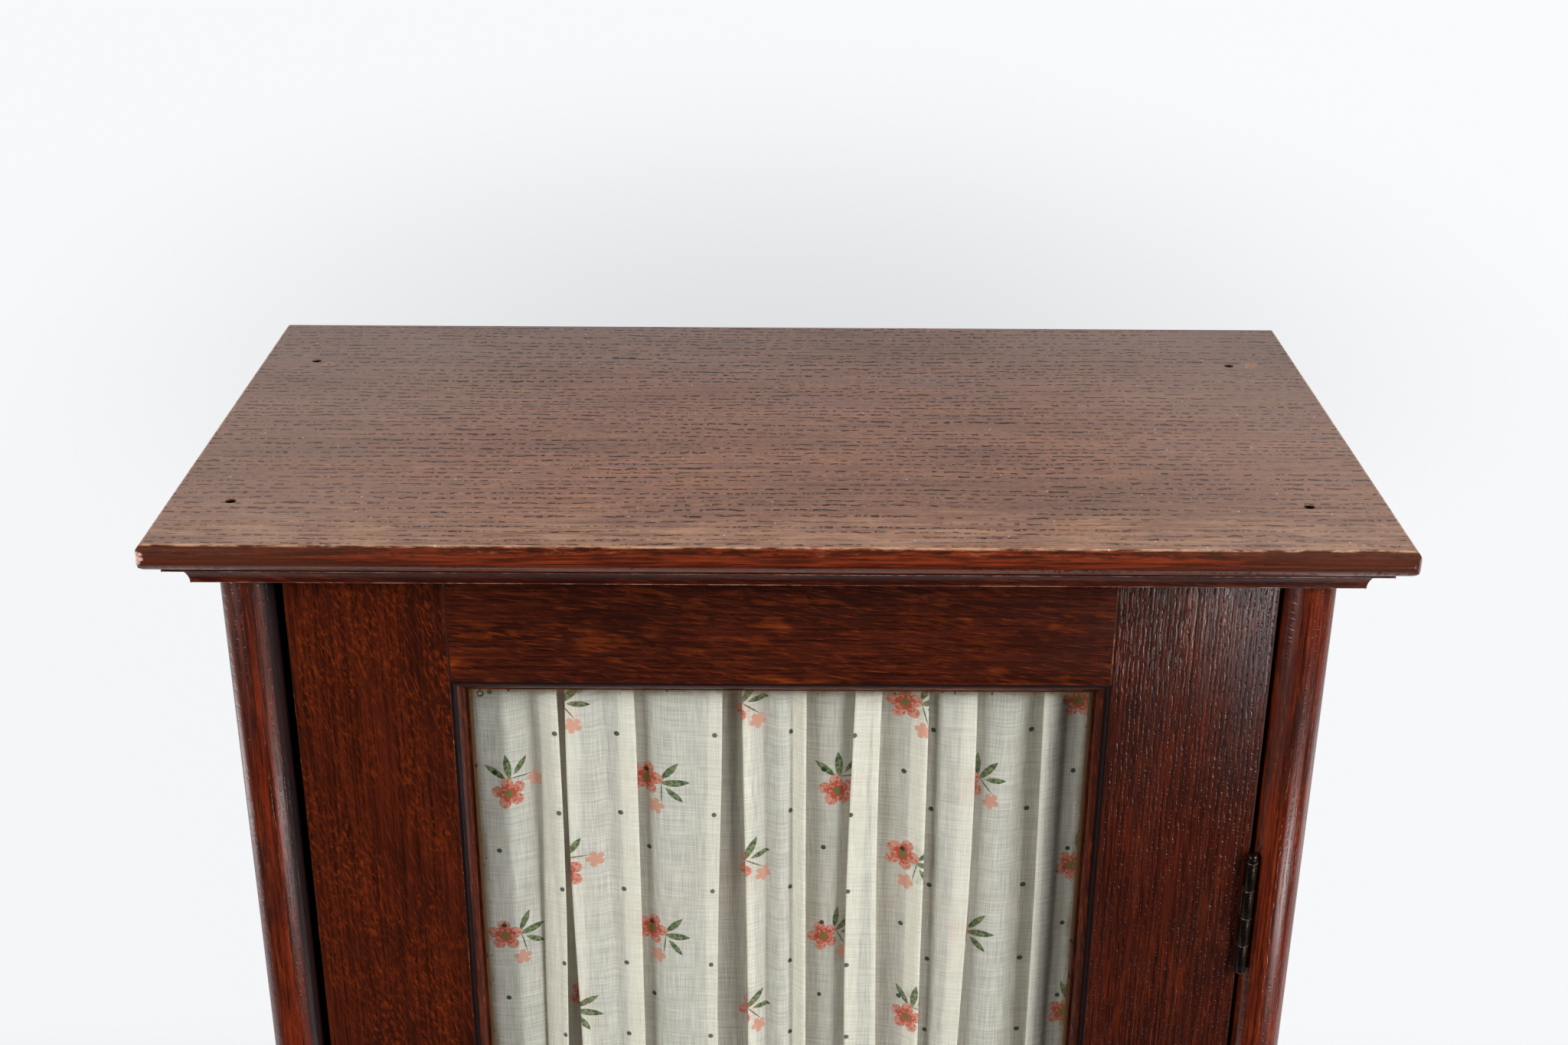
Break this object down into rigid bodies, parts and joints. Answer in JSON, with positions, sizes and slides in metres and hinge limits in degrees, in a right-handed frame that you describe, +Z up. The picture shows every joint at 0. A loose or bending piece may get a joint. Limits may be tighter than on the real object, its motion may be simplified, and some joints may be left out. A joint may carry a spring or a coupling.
{
  "type": "glass-door cabinet",
  "caption": "Free-standing dark oak cabinet with a moulded overhanging top and a glazed door backed by a gathered floral curtain, hung on butt hinges and closed by a key lock.",
  "frame": {"origin": "on the floor under the middle of the top board's outline", "axes": "+X to the right, +Y to the back, +Z up; the door faces -Y"},
  "size_m": [0.7, 0.37, 1.08],
  "materials": {
    "oak_top": "worn satin stain",
    "oak_stained": "dark red-brown stain under old varnish",
    "oak_inside": "bare, aged",
    "glass": "clear",
    "voile": "sheer printed voile",
    "hinge_metal": "dark bronze",
    "rod_brass": "dull",
    "plate_brass": "tarnished",
    "lock_steel": "old steel"
  },
  "bodies": {
    "carcass": {"back_board_1": "oak_inside", "back_board_2": "oak_inside", "back_board_3": "oak_inside", "back_board_4": "oak_inside", "back_board_5": "oak_inside", "back_rail_bottom": "oak_inside", "back_rail_top": "oak_inside", "door_stop_left": "oak_stained", "door_stop_top": "oak_stained", "floor_board": "oak_inside", "front_post_left": "oak_stained", "front_post_right": "oak_stained", "front_rail": "oak_stained", "hinge_pins": "hinge_metal", "hinge_post_leaf_lower": "hinge_metal", "hinge_post_leaf_upper": "hinge_metal", "rear_post_left": "oak_stained", "rear_post_right": "oak_stained", "shelf_1": "oak_inside", "shelf_2": "oak_inside", "shelf_3": "oak_inside", "shelf_cleats": "oak_inside", "side_panel_left": "oak_stained", "side_panel_right": "oak_stained", "side_rail_bottom_left": "oak_stained", "side_rail_bottom_right": "oak_stained", "side_rail_top_left": "oak_stained", "side_rail_top_right": "oak_stained", "strike_plate": "plate_brass", "top_board": "oak_top", "under_frame_back": "oak_inside", "under_moulding_front": "oak_stained", "under_moulding_left": "oak_stained", "under_moulding_right": "oak_stained"},
    "door": {"curtain": "voile", "curtain_rod_bottom": "rod_brass", "curtain_rod_top": "rod_brass", "door_rail_bottom": "oak_stained", "door_rail_top": "oak_stained", "door_stile_left": "oak_stained", "door_stile_right": "oak_stained", "escutcheon": "plate_brass", "glass_pane": "glass", "glazing_bead_bottom": "oak_stained", "glazing_bead_left": "oak_stained", "glazing_bead_right": "oak_stained", "glazing_bead_top": "oak_stained", "hinge_door_leaf_lower": "hinge_metal", "hinge_door_leaf_upper": "hinge_metal", "inner_bead_bottom": "oak_stained", "inner_bead_left": "oak_stained", "inner_bead_right": "oak_stained", "inner_bead_top": "oak_stained", "lock_case": "lock_steel", "rod_eyes": "rod_brass"},
    "lock_bolt": {"lock_bolt": "lock_steel"},
    "key": {"key": "lock_steel"}
  },
  "joints": [
    {"name": "door_hinge", "type": "hinge", "parent": "carcass", "child": "door", "pos_m": [0.28625, -0.1467, 0.58375], "axis": [0, 0, 1], "range_deg": [0, 150]},
    {"name": "key_turn", "type": "hinge", "parent": "door", "child": "key", "pos_m": [-0.254, -0.15, 0.58375], "axis": [0, -1, 0], "range_deg": [0, 90]},
    {"name": "bolt_slide", "type": "slide", "parent": "door", "child": "lock_bolt", "axis": [-1, 0, 0], "range_m": [0, 0.01]}
  ],
  "couplings": [
    {"joint": "key_turn", "follows": "bolt_slide", "rad_per_m": 157.07}
  ]
}
